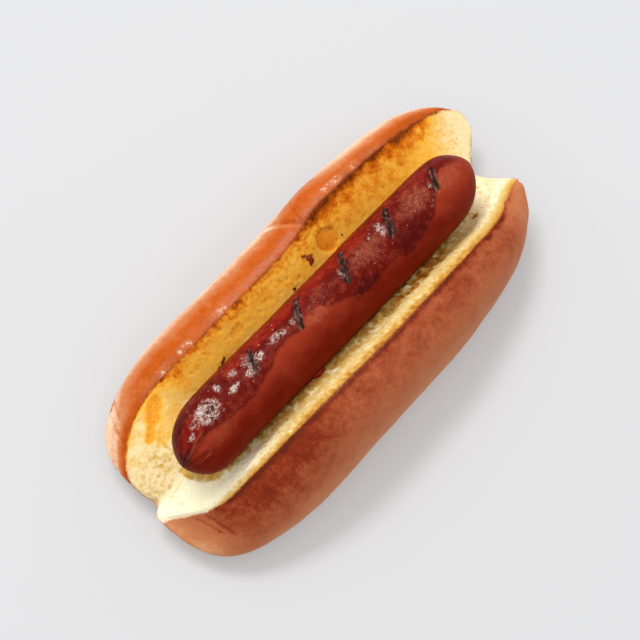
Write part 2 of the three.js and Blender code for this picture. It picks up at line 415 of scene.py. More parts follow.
# How far each spot of the crumb is toasted, 0 raw cream to 1 dark brown, with painted light and
# shade mixed in where noted. The back half took most of the heat, above all at its rim, while its
# ends stayed pale.
back_toast_and_glow = mottled(0.37 + 0.04 * smooth(u_mm, -20, 40) + 0.07 * tone_7, 0.06, 0.04)
back_toast_and_glow += mottled(0.20 + 0.16 * hump(u_mm, 22, 58, 12), 0.12) * np.exp(rim_mm / 1.6)
scorched = np.exp(rim_mm / 5.0) * hump(u_mm, 18, 60, 14)
back_toast_and_glow += scorched * unit(mottled(0.31, 0.28, 0.16))
specked = hump(u_mm, -52, 14, 6) * np.exp(rim_mm / 3)
back_toast_and_glow += specked * unit(mottled(0.09, 0.12, 0.32))
back_toast_and_glow -= 0.10 * bed * (1 - 0.6 * smooth(u_mm, 10, 40)) + 0.05 * fade(out_mm, 14, 20)
pale_ends = fade(u_mm + 0.9 * rim_mm, -65, -46) + smooth(u_mm - 0.5 * rim_mm, 60, 73)
back_toast_and_glow += (mottled(0.05, 0.10, 0.10) - back_toast_and_glow) * unit(pale_ends)
back_toast_and_glow += 0.16 * hump(u_mm, -61, -52, 4) * hump(out_mm, 11, 17, 3)
# Paler within 8 mm of the end edges: a painted glow of light through the thin ends.
back_toast_and_glow -= 0.08 * fade(end_mm, 2, 8) * unit(mottled(1, 1))
back_toast_and_glow += 0.34 * np.exp(rim_mm / 1.2) * fade(u_mm, -60, -50) * smooth(u_mm, -74, -68)
back_toast_and_glow += (0.60 - 0.08 * smooth(u_mm, 14, 19) - back_toast_and_glow) * round_crater
back_toast_and_glow += 0.12 * back_crater
back_toast_and_glow += (0.49 - back_toast_and_glow) * smooth(long_crater, 0, 0.5)

# The front half stayed pale, palest by its left tip, and only caught colour beside the sausage,
# there partly toast and partly painted shadow of the sausage.
front_toast_and_shade = mottled(0.14, 0.03, 0.03) + 0.03 * smooth(u_mm, 40, 58)
front_toast_and_shade -= 0.14 * fade(u_mm, -58, -30)
front_toast_and_shade -= mottled(0.03, 0.08, 0.06) * hump(rim_mm, -5.4, -3.0, 1.4)
front_toast_and_shade += mottled(0.03, 0.08, 0.10) * smooth(u_mm, -48, -34) * fade(u_mm, 36, 50)
front_toast_and_shade += mottled(0.06, 0.08, 0.10) * smooth(rim_mm, -2.8, -1.4) * hump(u_mm, -55, 40, 8)
front_toast_and_shade += 0.40 * np.exp(rim_mm / 0.9) * hump(u_mm, -62, 66, 6)
# Darker beside the sausage: partly toast, partly painted shadow of the sausage.
beside = fade(out_mm + 1.2 * tone_3, 16, 20.5) * hump(u_mm, -50, 36, 12)
front_toast_and_shade += beside * unit(mottled(0.12, 0.26, 0.30))
front_toast_and_shade -= 0.10 * smooth(u_mm, 44, 54) * fade(rim_mm, -4, -1.5)
# A dark line where the crumb meets the sausage: painted contact shadow.
plan_gap = np.abs(from_axis[:, 0]) - bed_radius + 0.4 * tone_3
contact_shade = np.maximum(fade(gap, 0.3, 2.0) * hump(u_mm, -66, 44, 5),
                     fade(plan_gap, -1.4, 0.8) * hump(u_mm, -69, -46, 4))
front_toast_and_shade += contact_shade * unit(mottled(0.26, 0.16, 0.12))
browned = hump(u_mm, 17, 33, 4) * hump(out_mm, 12, 19, 1.5)
front_toast_and_shade += browned * unit(mottled(0.10, 0.3, 0.5))
brown_speck = spot(u_mm, signed_out, (51, -15.5), (1.3, 1.1)) + 0.3 * tone_1
front_toast_and_shade += 0.55 * smooth(brown_speck, 0, 0.5) + 0.06 * front_crater
crumb_is_back = smooth(mottled(0, 0.05, 0.04) - across_all, -0.05, 0.05)
# The pores are painted a little darker: painted shade in them.
toast_light_and_shade = unit(crumb_is_back * back_toast_and_glow + (1 - crumb_is_back) * front_toast_and_shade + 0.10 * pores)

# Olive tint on the sponge: beside the sausage at the front, as painted shade there, and in the
# pores of the left end, as painted shade in them.
olive = mottled(0.16, 0.4, 0.4) * beside + 0.5 * front_crater + 0.3 * contact_shade
left_pores = hump(u_mm, -73, -60, 4) * fade(out_mm, 9, 17) * is_back
olive = unit(is_front * unit(olive) + left_pores * unit(mottled(0.25 + 0.9 * pores, 0.5, 0.8)))
olive += 0.35 * is_back * hump(u_mm, 55, 76, 5) * unit(mottled(0, 0.4, 1))
olive += 0.22 * is_back * hump(u_mm, -46, 6, 10) * fade(out_mm, 15, 21) * unit(mottled(1, 1))

# How far the crust is baked, 0 pale to 1 dark, with painted light and shade mixed in: a thin dark
# line at the rim, partly painted shade in the groove under the back crust's lip, and brown below
# it.
# Down the side the bake changes in steps: change, from and to in mm from the rim. Low on the front
# side the paler colour is partly less-baked crust, partly painted sheen; 5 to 14 mm from the back
# rim the pale band is partly paler crust, partly painted rim light along the outline. The dark
# line's width is in mm too, and it is nicked and bulges near the front half's right end.
BACK_LINE, FRONT_LINE = 0.55, 1.3
RIM_BAKE = 0.72
FRONT_STEPS = ((-0.20, 5, 16), (-0.16, 15, 26), (-0.30, 24, 35))
BACK_STEPS = ((-0.08, 2, 4), (-0.24, 5, 9.5), (-0.36, 7.5, 14), (0.42, 14.5, 22), (-0.10, 26, 38))
front_bake_and_light, back_bake_and_light = (
    RIM_BAKE + sum(change * smooth(rim_mm, start, end) for change, start, end in steps)
    for steps in (FRONT_STEPS, BACK_STEPS)
)
rim_wobble = mottled(0, 0.28, 0.22)
nick = unit(spot(u_mm, 0, (58.5, 0), (1.6, 1)))
rim_wobble -= is_front * (0.9 * nick - 0.5 * hump(u_mm, 46, 54, 3))
line_width = BACK_LINE + (FRONT_LINE - BACK_LINE) * is_front
rim_line_and_shade = np.exp(-((np.maximum(rim_mm - rim_wobble, 0) / line_width) ** 2))
front_bake_and_light += 0.15 * fade(u_mm, -50, 0) * hump(rim_mm, 0, 14, 10)
front_bake_and_light -= 0.60 * fade(u_mm, -78, -63) + 0.30 * smooth(u_mm, 48, 64)
# Darker in the folds: painted shade in them.
front_bake_and_light += mottled(0.06 * tone_7 + 0.05 * tone_25, 0.04, 0.03) + 0.15 * folds * is_front
front_bake_and_light += mottled(0.30, 0.10) * rim_line_and_shade * hump(u_mm, -60, 62, 5)
# Paler near the back rim, to the right and at both ends: partly paler crust, partly painted rim
# light along the outline.
near_side = fade(rim_mm, 13, 22)
back_bake_and_light -= 0.38 * smooth(u_mm, 18, 42) * smooth(rim_mm, 2.5, 7) * near_side
# A pale streak beside the middle fold: a painted highlight.
back_bake_and_light -= 0.22 * streak(u_mm, rim_mm, (11, 3), (6, 12), 2.2) * is_back
back_bake_and_light -= (0.15 + 0.40 * near_side) * fade(u_mm, -72, -50) * smooth(rim_mm, 0.5, 5)
back_bake_and_light -= (0.05 + 0.20 * near_side) * smooth(u_mm, 55, 72) * smooth(rim_mm, 1, 5)
# Darker in the folds: painted shade in them.
back_bake_and_light += mottled(0.05 * tone_7, 0.05, 0.05) + 0.10 * folds
back_bake_and_light += 0.45 * streak(u_mm + tone_3, rim_mm, (-63.5, 10), (-58, 12.5), 3) * is_back
# The dark rim line, darker to the right: partly dark-baked edge, partly painted shade in the groove
# under the crust's lip.
back_bake_and_light += (0.16 + 0.12 * smooth(u_mm, 5, 20)) * rim_line_and_shade * hump(u_mm, -62, 68, 6)
crust_is_back = fade(across_all + 0.12 * tone_7, -0.35, 0.35)
bake_and_light = unit(crust_is_back * back_bake_and_light + (1 - crust_is_back) * front_bake_and_light)

# Egg glaze ran together along the back rim, tinted pinkish there, partly as dried glaze and partly
# as painted sheen, with a few white glints that are painted highlights. Each glint's u and width.
PAINTED_GLINTS = ((-46, 3), (-37, 4), (-22.5, 3.5), (28, 6), (37, 2))
glaze_and_sheen = 0.38 * hump(u_mm, -52, 45, 8) * unit(mottled(0.8, 0.8))
for glint_u, glint_width in PAINTED_GLINTS:
    painted_glint = hump(u_mm, glint_u - glint_width / 2, glint_u + glint_width / 2, 1.2)
    glaze_and_sheen += 0.8 * unit(mottled(0.5, 0, 1.3)) * painted_glint
glaze_and_sheen = unit(glaze_and_sheen) * is_back * hump(rim_mm, 1.2, 2.4, 1.2)


def skin_mesh(name, points, faces, fields):
    """One smooth piece. Its fields are numbers on its points that its material reads."""
    mesh = bpy.data.meshes.new(name)
    mesh.from_pydata((points * MM).tolist(), [], faces)
    mesh.polygons.foreach_set("use_smooth", np.ones(len(mesh.polygons), bool))
    for field, values in fields.items():
        attribute = mesh.attributes.new(field, "FLOAT", "POINT")
        attribute.data.foreach_set("value", values.astype(np.float32))
    mesh.update()
    piece = bpy.data.objects.new(name, mesh)
    bpy.context.scene.collection.objects.link(piece)
    return piece


bun = skin_mesh("split_bun", bun_points, bun_faces.tolist(), {
    "crust_side": edge_mm - rim_wobble * (end_mm > 4), "toast_light_and_shade": toast_light_and_shade, "olive": olive,
    "bake_and_light": bake_and_light, "glaze_and_sheen": glaze_and_sheen, "crust_is_back": crust_is_back,
    "crumb_is_back": fade(across_all + 0.06 * tone_3, -0.10, 0.30),
})


def node(tree, kind, inputs=None, stops=None, **settings):
    """Adds one node. Inputs that are nodes are linked, others set. Stops are a ramp's colours."""
    made = tree.nodes.new("ShaderNode" + kind)
    for name, value in settings.items():
        setattr(made, name, value)
    for key, value in (inputs or {}).items():
        if isinstance(value, bpy.types.Node):
            value = next(output for output in value.outputs if output.enabled)
        if isinstance(value, bpy.types.NodeSocket):
            tree.links.new(value, made.inputs[key])
        else:
            made.inputs[key].default_value = value
    for index, (place, colour) in enumerate(stops or ()):
        stop = made.color_ramp.elements[index] if index < 2 else made.color_ramp.elements.new(place)
        stop.position, stop.color = place, colour
    return made


def linear(hex_colour):
    """An sRGB hex colour as linear RGBA."""
    channels = [int(hex_colour[i:i + 2], 16) / 255 for i in (1, 3, 5)]
    return (*(c / 12.92 if c <= 0.04045 else ((c + 0.055) / 1.055) ** 2.4 for c in channels), 1.0)


def grain(size):
    """Scale of a texture whose features are size mm across."""
    return 1 / (size * MM)


def bare_nodes(owner):
    """Clears the nodes of a material or the world, and gives the function that adds new ones."""
    owner.use_nodes = True
    owner.node_tree.nodes.clear()
    return partial(node, owner.node_tree)


# Toasted brioche: an open cream sponge that browns through gold to dark brown where it was grilled,
# under a thin crust that its egg wash left satin. The wash dried shiny in the band by the back rim.
# The colour fields carry painted light and shade too, as noted where they are made.
WHITE_CREAM, RAW_CREAM, YELLOW_CREAM = map(linear, ("#FFF2D0", "#EDD6A4", "#E4B860"))
GOLDEN, ORANGE_BROWN, TOASTED_BROWN = map(linear, ("#ECAC38", "#D06A0A", "#6E2C08"))
FRONT_CREAM, FRONT_STRAW, FRONT_TOAST = map(linear, ("#DABC78", "#CC9A46", "#AA6424"))
OLIVE = linear("#AE8A2C")
# The front crust's peach, low on its side, stands partly for painted sheen.
FRONT_PEACH, FRONT_TAN, FRONT_BROWN = map(linear, ("#D8A880", "#C0784C", "#AC5C38"))
FRONT_RED_BROWN, FRONT_DARK = map(linear, ("#7E2809", "#5A1C0A"))
# The back crust's palest peach stands partly for painted rim light along its outline.
BACK_PEACH, BACK_TAN, BACK_ORANGE = map(linear, ("#ECC4A2", "#C67C50", "#BA530C"))
BACK_RED_BROWN, BACK_DARK = map(linear, ("#943E12", "#5E2008"))
# Glaze tint, partly painted sheen, and the white of painted glints.
DRIED_GLAZE_AND_SHEEN, PAINTED_GLINT_WHITE = map(linear, ("#C8845C", "#F8E6D4"))

bread = bpy.data.materials.new("toasted_brioche")
add = bare_nodes(bread)
place = add("TexCoord").outputs["Object"]

# The fields painted above, then textures by size in mm: a sponge, freckles and broad blotches.
field = {name: add("Attribute", attribute_name=name).outputs["Fac"] for name in (
    "crust_side", "toast_light_and_shade", "olive", "bake_and_light", "glaze_and_sheen", "crust_is_back", "crumb_is_back")}
sponge, freckle, blotch = (
    add("TexNoise", {"Vector": place, "Scale": grain(size), "Detail": detail, "Roughness": rough})
    for size, detail, rough in ((0.7, 4.0, 0.6), (0.35, 2.0, 0.5), (1.8, 3.0, 0.5)))
fine, finer, coarse = (
    add("MapRange", {"Value": speck, "From Min": 0.3, "From Max": 0.7, "To Min": -1.0}, clamp=False)
    for speck in (sponge, freckle, blotch))

# Crumb: speckled by its torn cell walls, more strongly where it is toasted.
contrast = add("MapRange", {
    "Value": field["toast_light_and_shade"], "From Max": 0.5, "To Min": 0.03, "To Max": 0.075})
browning_and_light = field["toast_light_and_shade"]
for speck, amount in ((fine, contrast), (finer, 0.025)):
    browning_and_light = add("Math", {0: speck, 1: amount, 2: browning_and_light}, operation="MULTIPLY_ADD")
front_crumb = add("ValToRGB", {"Fac": browning_and_light}, stops=(
    (0.0, WHITE_CREAM), (0.14, FRONT_CREAM), (0.3, FRONT_STRAW), (0.6, FRONT_TOAST),
    (1.0, TOASTED_BROWN)))
back_crumb = add("ValToRGB", {"Fac": browning_and_light}, stops=(
    (0.0, RAW_CREAM), (0.2, YELLOW_CREAM), (0.4, GOLDEN), (0.68, ORANGE_BROWN),
    (1.0, TOASTED_BROWN)))
# Olive tint: painted shade beside the sausage and in the pores of the left end.
olive_tint = add("Math", {0: fine, 1: 0.25, 2: 0.5}, operation="MULTIPLY_ADD")
olive_tint = add("Math", {0: olive_tint, 1: field["olive"]}, operation="MULTIPLY")

# Crust: mottled by the blisters of the bake.
baked_with_light = field["bake_and_light"]
for speck, amount in ((coarse, 0.04), (fine, 0.04), (finer, 0.02)):
    baked_with_light = add("Math", {0: speck, 1: amount, 2: baked_with_light}, operation="MULTIPLY_ADD")
front_crust = add("ValToRGB", {"Fac": baked_with_light}, stops=(
    (0.0, FRONT_PEACH), (0.3, FRONT_TAN), (0.62, FRONT_BROWN), (0.85, FRONT_RED_BROWN),
    (1.0, FRONT_DARK)))
back_crust = add("ValToRGB", {"Fac": baked_with_light}, stops=(
    (0.0, BACK_PEACH), (0.3, BACK_TAN), (0.62, BACK_ORANGE), (0.85, BACK_RED_BROWN),
    (1.0, BACK_DARK)))

# Glaze: dried in thin wrinkles, partly painted sheen, with painted glints where it is thickest.
wrinkle = add("TexNoise", {"Vector": place, "Scale": grain(1.1), "Detail": 2.0, "Distortion": 0.6})
wrinkle = add("Math", {0: wrinkle, 1: 0.5}, operation="SUBTRACT")
wrinkle = add("Math", {0: wrinkle}, operation="ABSOLUTE")
wrinkle = add("MapRange", {"Value": wrinkle, "From Min": 0.11, "From Max": 0.01, "To Min": 0.4})
shiny = add("Math", {0: wrinkle, 1: field["glaze_and_sheen"]}, operation="MULTIPLY")
painted_glint = add("MapRange", {"Value": shiny, "From Min": 0.55, "To Max": 0.55})

# The sponge frays into the crust at the rim.
ragged = field["crust_side"]
for speck, amount in ((coarse, 0.25), (fine, 0.15)):
    ragged = add("Math", {0: speck, 1: amount, 2: ragged}, operation="MULTIPLY_ADD")
is_crust = add("MapRange", {"Value": ragged, "From Min": -0.45, "From Max": 0.45})

crumb_colour, crust_colour = front_crumb, front_crust
for share, layer in ((field["crumb_is_back"], back_crumb), (olive_tint, OLIVE)):
    crumb_colour = add("Mix", {0: share, 6: crumb_colour, 7: layer}, data_type="RGBA")
layers = ((field["crust_is_back"], back_crust), (shiny, DRIED_GLAZE_AND_SHEEN), (painted_glint, PAINTED_GLINT_WHITE))
for share, layer in layers:
    crust_colour = add("Mix", {0: share, 6: crust_colour, 7: layer}, data_type="RGBA")
colour = add("Mix", {0: is_crust, 6: crumb_colour, 7: crust_colour}, data_type="RGBA")

# Dull, soft and deep-lit on the crumb, smoother and firmer on the crust.
rough, soak, relief, wash = (
    add("MapRange", {"Value": is_crust, "To Min": on_the_crumb, "To Max": on_the_crust})
    for on_the_crumb, on_the_crust in ((0.85, 0.45), (0.35, 0.05), (0.35, 0.10), (0.0, 0.10)))
wash = add("Math", {0: shiny, 1: 0.15, 2: wash}, operation="MULTIPLY_ADD")
bump = add("Bump", {"Height": sponge, "Distance": 0.5 * MM, "Strength": relief})
shader = add("BsdfPrincipled", {
    "Base Color": colour, "Roughness": rough, "Normal": bump, "IOR": 1.45,
    "Specular IOR Level": 0.05, "Subsurface Weight": soak, "Subsurface Radius": (1.0, 0.55, 0.25),
    "Subsurface Scale": 1.5 * MM, "Coat Weight": wash, "Coat Roughness": 0.32,
})
add("OutputMaterial", {"Surface": shader})
bun.data.materials.append(bread)
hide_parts("bun")
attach(bun, "root")

# ---- Sausage ---------------------------------------------
# A smooth pork frank in a thin casing, tied off at the left tip. Its top was grilled over bars: the
# skin there is blistered, tight and oily, with six slanting burns, while its flanks stayed matte.

SAUSAGE_RINGS = 400
SAUSAGE_STEPS = 236

# The oily, blistered skin ends along a wavy line: (x, turn in degrees) from the back over the top.
OILY_LINE = (
    (-62, 108), (-60, 102), (-57.2, 96), (-53.8, 98), (-50.8, 104), (-49.3, 108), (-45.3, 113),
    (-40.1, 114), (-36.9, 115), (-32.5, 111), (-29.9, 106), (-27, 104), (-24, 96), (-20.7, 91),
    (-17.6, 92), (-14.1, 96), (-11.7, 86), (-8.2, 84), (-4.8, 88), (-3.3, 101), (-1.6, 105),
    (0.9, 109), (2.8, 115), (7, 126), (9.9, 130), (13.4, 126), (16.9, 126), (18.6, 123), (23, 124),
    (24.4, 134), (27, 135), (30.3, 132), (33.6, 128), (37.1, 124), (39.2, 119), (41, 110),
    (42.8, 102), (44.8, 94), (47, 85), (49.2, 77), (51.4, 72), (54.9, 80),
)

# Burns from the grill bars and shrivelled cracks: start, end, width and strength.
BURNS = (
    ((-50.2, 80), (-47.6, 86), 0.9, 0.8), ((-47.8, 76), (-46.2, 64), 0.9, 0.8),
    ((-46.6, 82), (-45, 76), 0.8, 0.7), ((-31.2, 94), (-27.3, 53), 4.4, 0.75),
    ((-13, 92), (-6.9, 48), 4.0, 0.95), ((6.4, 94), (12.1, 48), 4.2, 0.95),
    ((25.6, 94), (30.8, 48), 4.6, 1.0), ((45.2, 92), (49.3, 62), 4.8, 0.85),
    ((42.6, 95), (40.1, 112), 1.4, 0.5),
)

# Chalky, ash-dusted blisters, whose whitish specks are partly ash, partly painted glints: centre,
# half size in mm and strength.
ASH_AND_GLINT_PATCHES = (
    ((-48.3, 81), (5.2, 4.2), 1.0), ((-56.2, 85), (1.6, 1.2), 0.8), ((-53.3, 74), (2.4, 1.4), 0.45),
    ((-41.1, 64), (0.9, 1.9), 0.85), ((-38.3, 86), (2.4, 1.3), 1.0), ((-35.1, 65), (1.6, 1.6), 0.5),
    ((-31.9, 88), (1.8, 1.8), 1.0), ((-27.1, 77), (2.4, 2), 1.0), ((-29.5, 72), (3.4, 4), 0.55),
    ((-19.3, 75), (3.6, 1.5), 0.75), ((-17.3, 78), (1.3, 0.9), 1.0), ((-10.5, 77), (1.1, 1.5), 0.9),
    ((-13.3, 77), (1.1, 1.5), 0.7), ((6.9, 80), (1, 2.4), 0.65), ((25, 70), (1.6, 3.2), 0.8),
    ((44.5, 82), (1.1, 1.5), 0.8), ((20.3, 70), (0.7, 0.7), 0.9), ((14.4, 76), (0.5, 0.5), 0.7),
    ((36.9, 101), (0.6, 0.6), 0.8), ((40.2, 108), (0.6, 0.6), 0.8),
)
# Skin seared to a pinkish brown, partly as painted sheen, then skin that shrivelled to a dark
# maroon.
SEARED_AND_SHEEN_PATCHES = (
    ((17, 82), (8, 5), 0.50), ((38, 80), (8, 5), 0.55), ((-2, 72), (4, 2), 0.25),
    ((-7, 98), (6, 2.2), 0.5), ((50, 92), (8, 4), 0.5), ((-50, 118), (8, 2.6), 0.25),
)
MAROON_PATCHES = (
    ((9.3, 121), (5.5, 2.7), 1.0), ((30, 114), (8.5, 3.6), 0.8), ((-62, 110), (2.6, 7), 0.9),
    ((62, 110), (1.6, 9), 0.6), ((-57, 44), (8, 3.2), 0.7), ((-42, 44), (3, 2), 0.4),
    ((-39, 72), (1, 4), 0.5), ((27, 108), (1.5, 6), 0.7),
)

# Puckers gathered toward the tied tip, painted darker as painted shade in them, and the edges that
# stand up beside them, painted pale as painted highlights: start, end and width.
CREASES = (
    ((-62, 119), (-55.7, 123), 1.6), ((-61.8, 102), (-56, 84), 2.8),
    ((-61.5, 110), (-52, 100), 2.4), ((-61.8, 85), (-57, 56), 2.6),
)
RIDGES = (
    ((-60.5, 103), (-57.2, 96), 1.0), ((-57.2, 96), (-53.6, 94), 1.0),
    ((-59.5, 132), (-55.7, 128), 0.7),
)

# Relief in mm: slow waves and bumps, blisters and creping on the oily top, ash standing proud,
# burns and creases sunk in. It dies away where the tips get thinner than the calm radius.
WAVE_SIZE, WAVE_HEIGHT, BUMP_HEIGHT, SKIN_SHRINK = 18, 0.16, 0.07, 0.05
BLISTER_SPACING, BLISTER_SMALLEST, BLISTER_LARGEST, BLISTER_HEIGHT = 2.1, 0.3, 1.2, 0.09
OILY_HEIGHT, CREPE_HEIGHT = 0.05, 0.05
ASH_HEIGHT, ASH_GRIT = 0.10, 0.12
BURN_DEPTH, BURN_GRIT = 0.22, 0.4
PUCKER_HEIGHT = 0.25
CALM_RADIUS = 4


def skin_axis(station):
    return np.insert(sausage_axis(station), 0, SAUSAGE_X + SAUSAGE_HALF_LENGTH * station, axis=-1)


slimness = SAUSAGE_RADIUS / SAUSAGE_HALF_LENGTH
station = even_stations(SAUSAGE_RINGS + 1, SAUSAGE_LEFT, SAUSAGE_RIGHT, slimness)[1:-1, None]
turn = np.linspace(0, 2 * math.pi, SAUSAGE_STEPS, endpoint=False)[None, :]
station, turn = np.broadcast_arrays(station, turn)
radius = SAUSAGE_RADIUS * fall(station, SAUSAGE_LEFT, SAUSAGE_RIGHT)
normals = np.stack([np.zeros_like(turn), np.cos(turn), np.sin(turn)], axis=-1)
skin = (skin_axis(station) + radius[..., None] * normals).reshape(-1, 3)
tips = skin_axis(np.array([-1.0, 1.0]))
index = np.arange(len(skin)).reshape(station.shape)
index = np.concatenate([index, index[:, :1]], axis=1)
sausage_faces = quads(index)[:, ::-1].tolist()
first_ring, last_ring = index[0].tolist(), index[-1].tolist()
sausage_faces += [[len(skin), b, a] for a, b in zip(first_ring, first_ring[1:])]
sausage_faces += [[len(skin) + 1, a, b] for a, b in zip(last_ring, last_ring[1:])]

# Places on the skin: x from the middle, and the turn from the back over the top as mm of arc.
ARC = math.radians(SAUSAGE_RADIUS)
x_mm = SAUSAGE_HALF_LENGTH * station.ravel()
turn_deg = np.degrees(turn.ravel())
arc_mm = turn_deg * ARC
skin_6, skin_2, skin_1 = lumps(skin, 6, 2), lumps(skin, 2, 2), lumps(skin + 30, 0.8, 2)


def on_skin(place):
    return place[0], place[1] * ARC


def lines_on_skin(lines, x_wobble, arc_wobble):
    """For each line, 1 along its middle and 0 beside it."""
    return [streak(x_mm + x_wobble, arc_mm + arc_wobble, on_skin(start), on_skin(end), width)
            for start, end, width, *_ in lines]


def patches_on_skin(patches, x_wobble, raggedness, start, end):
    """The strongest of some ragged oval patches at each point."""
    strongest = 0
    for place, half_size, strength in patches:
        patch = spot(x_mm + x_wobble, arc_mm, on_skin(place), half_size) + raggedness
        strongest = np.maximum(strongest, strength * smooth(patch, start, end))
    return strongest


oily_x, oily_turn = np.array(OILY_LINE).T
front_line = (np.interp(x_mm, oily_x, oily_turn) + 2.0 * skin_2 + 1.5 * skin_6) * ARC
oily = smooth(front_line - arc_mm, -0.5, 0.6) * smooth(turn_deg, 2, 14) * fade(x_mm, 55, 61)
oily_rim = np.exp(-(((front_line - arc_mm - 0.1) / 0.5) ** 2)) * hump(x_mm, -58, 54, 3)
oily_rim *= unit(0.8 - 0.3 * smooth(x_mm, -30, -20) + 0.3 * skin_2)

ragged = 0.4 * skin_1 + 0.4 * skin_2
marks = lines_on_skin(BURNS, ragged, ragged)
burn = np.max([bar[3] * smooth(mark, 0, 1) for bar, mark in zip(BURNS, marks)], axis=0)
crease = np.max(lines_on_skin(CREASES, 0, 0.2 * skin_2), axis=0)
ridge = np.max(lines_on_skin(RIDGES, 0, 0.15 * skin_2), axis=0)
ash_and_glints = patches_on_skin(ASH_AND_GLINT_PATCHES, 0.5 * skin_2, 0.30 * skin_1 + 0.22 * skin_2, 0.05, 0.5)
maroon = patches_on_skin(MAROON_PATCHES, 0, 0.25 * skin_2 + 0.2 * skin_1, -0.2, 0.6)
seared_and_sheen = patches_on_skin(SEARED_AND_SHEEN_PATCHES, 0, 0.35 * skin_2 + 0.25 * skin_1, -0.1, 0.8)
# More orange-red on the side that faces the lamp, and on top by the left tip: painted light and
# sheen.
flush_and_sheen = hump(turn_deg, 30, 58, 9) * hump(x_mm, -34, 46, 8)
flush_and_sheen *= unit(0.8 + 0.3 * skin_6 + 0.25 * skin_2)
flush_and_sheen *= 1 - 0.45 * smooth(x_mm, 10, 25)
flush_and_sheen += 0.55 * hump(x_mm, -59, -52, 3) * hump(turn_deg, 62, 90, 10)
flush_and_sheen = unit(flush_and_sheen + 0.15 * skin_6 + 0.15 * skin_2) * oily * (1 - maroon)
# Lighter toward the flank's top and the right end, darker below: painted light, sheen and shade.
flank_lit = fade(turn_deg, 92, 150) + smooth(turn_deg, 240, 340)
flank_lit = unit(flank_lit + 0.45 * smooth(x_mm, 30, 58) + 0.12 * skin_6)

blisters = bubbles(skin, BLISTER_SPACING, BLISTER_SMALLEST, BLISTER_LARGEST) * oily
height = WAVE_HEIGHT * lumps(skin, WAVE_SIZE) + BUMP_HEIGHT * skin_6 - SKIN_SHRINK
height += oily * (OILY_HEIGHT + BLISTER_HEIGHT * blisters + CREPE_HEIGHT * skin_1)
height += ash_and_glints * (ASH_HEIGHT + ASH_GRIT * skin_1) - BURN_DEPTH * burn * (1 + BURN_GRIT * skin_1)
height += PUCKER_HEIGHT * (ridge - crease)
height *= unit(radius.ravel() / CALM_RADIUS)
skin = np.concatenate([skin + normals.reshape(-1, 3) * height[:, None], tips])

# Each tip takes the fields of the ring beside it.
fields = {
    "oily": oily, "burn": burn, "ash_and_glints": ash_and_glints, "flush_and_sheen": flush_and_sheen, "flank_lit": flank_lit,
    # Creases are painted maroon and ridges pale: painted shade and painted highlights.
    "maroon": unit(0.8 * maroon + 0.5 * crease + 0.55 * oily_rim),
    "pale_sheen": np.maximum(0.6 * ridge, seared_and_sheen),
}
fields = {name: np.append(values, values[[0, -1]]) for name, values in fields.items()}
sausage = skin_mesh("grilled_sausage", skin, sausage_faces, fields)

# Grilled casing: a thin cured-meat skin, matte brick red on the flanks. Where the grill caught it,
# fat seeped out: it is wetter and crimson, with chalky ash and black burns on it. Painted light,
# shade, sheen, glints and sparkles are in its colours as noted below.
FLANK_DARK, FLANK_LIGHT = map(linear, ("#6E1402", "#8C2E18"))
OILY_RED, FLUSHED_AND_LIT_RED, MAROON = map(linear, ("#5E0C05", "#861807", "#360604"))
# Seared skin, partly painted sheen.
SEARED_SHEEN_ROSE, SEARED_SHEEN_PINK = map(linear, ("#904028", "#AC6248"))
# The ash's grey and white stand partly for painted glints.
ASH_ROSE, ASH_AND_GLINT_GREY, ASH_AND_GLINT_WHITE = map(linear, ("#824C3E", "#9A7C70", "#D0C2B8"))
# The burns' grey stands for painted glints.
BURNT_BLACK, BURNT_BROWN, BURNT_GLINT_GREY = map(linear, ("#18110E", "#48291E", "#7C7066"))
# The pale pink of painted sparkles.
SPARKLE_PINK = linear("#D8A498")
SPARKLE_CHANCE = 0.87
BURN_SLANT = math.radians(62)

casing = bpy.data.materials.new("grilled_casing")
add = bare_nodes(casing)
place = add("TexCoord").outputs["Object"]
field = {name: add("Attribute", attribute_name=name).outputs["Fac"]
         for name in ("oily", "burn", "ash_and_glints", "flush_and_sheen", "flank_lit", "maroon", "pale_sheen")}
fine = add("TexNoise", {"Vector": place, "Scale": grain(0.55), "Detail": 4.0, "Roughness": 0.65})
broad, patchy = (add("TexNoise", {"Vector": place, "Scale": grain(size), "Detail": 3.0})
                 for size in (5, 2.2))

# The shrunken skin stands up in small winding crests, about 1 mm apart.
crest = add("TexNoise", {"Vector": place, "Scale": grain(1.3), "Detail": 2.0, "Distortion": 0.8})
crest = add("Math", {0: crest, 1: 0.5}, operation="SUBTRACT")
crest = add("Math", {0: crest}, operation="ABSOLUTE")
crest = add("MapRange", {"Value": crest, "From Min": 0.10, "From Max": 0.0})

# Matte flank and oily top, each in two tones: the flank's are painted light and shade, and the
# top's are random patches plus painted light on the side facing the lamp. Painted highlights lie on
# the top's crests.
flank_tone = add("MapRange", {
    "Value": broad, "From Min": 0.3, "From Max": 0.7, "To Min": -0.25, "To Max": 0.25})
flank_tone = add("Math", {0: flank_tone, 1: field["flank_lit"]}, operation="ADD")
flank_colour = add("Mix", {0: flank_tone, 6: FLANK_DARK, 7: FLANK_LIGHT}, data_type="RGBA")
oily_tone = add("MapRange", {
    "Value": patchy, "From Min": 0.35, "From Max": 0.65, "To Min": -0.25, "To Max": 0.3})
oily_tone = add("Math", {0: oily_tone, 1: field["flush_and_sheen"]}, operation="ADD")
oily_colour = add("Mix", {0: oily_tone, 6: OILY_RED, 7: FLUSHED_AND_LIT_RED}, data_type="RGBA")
lit_crest = add("MapRange", {"Value": patchy, "From Min": 0.45, "From Max": 0.62, "To Max": 0.4})
lit_crest = add("Math", {0: lit_crest, 1: crest}, operation="MULTIPLY")
oily_colour = add("Mix", {0: lit_crest, 6: oily_colour, 7: SEARED_SHEEN_ROSE}, data_type="RGBA")

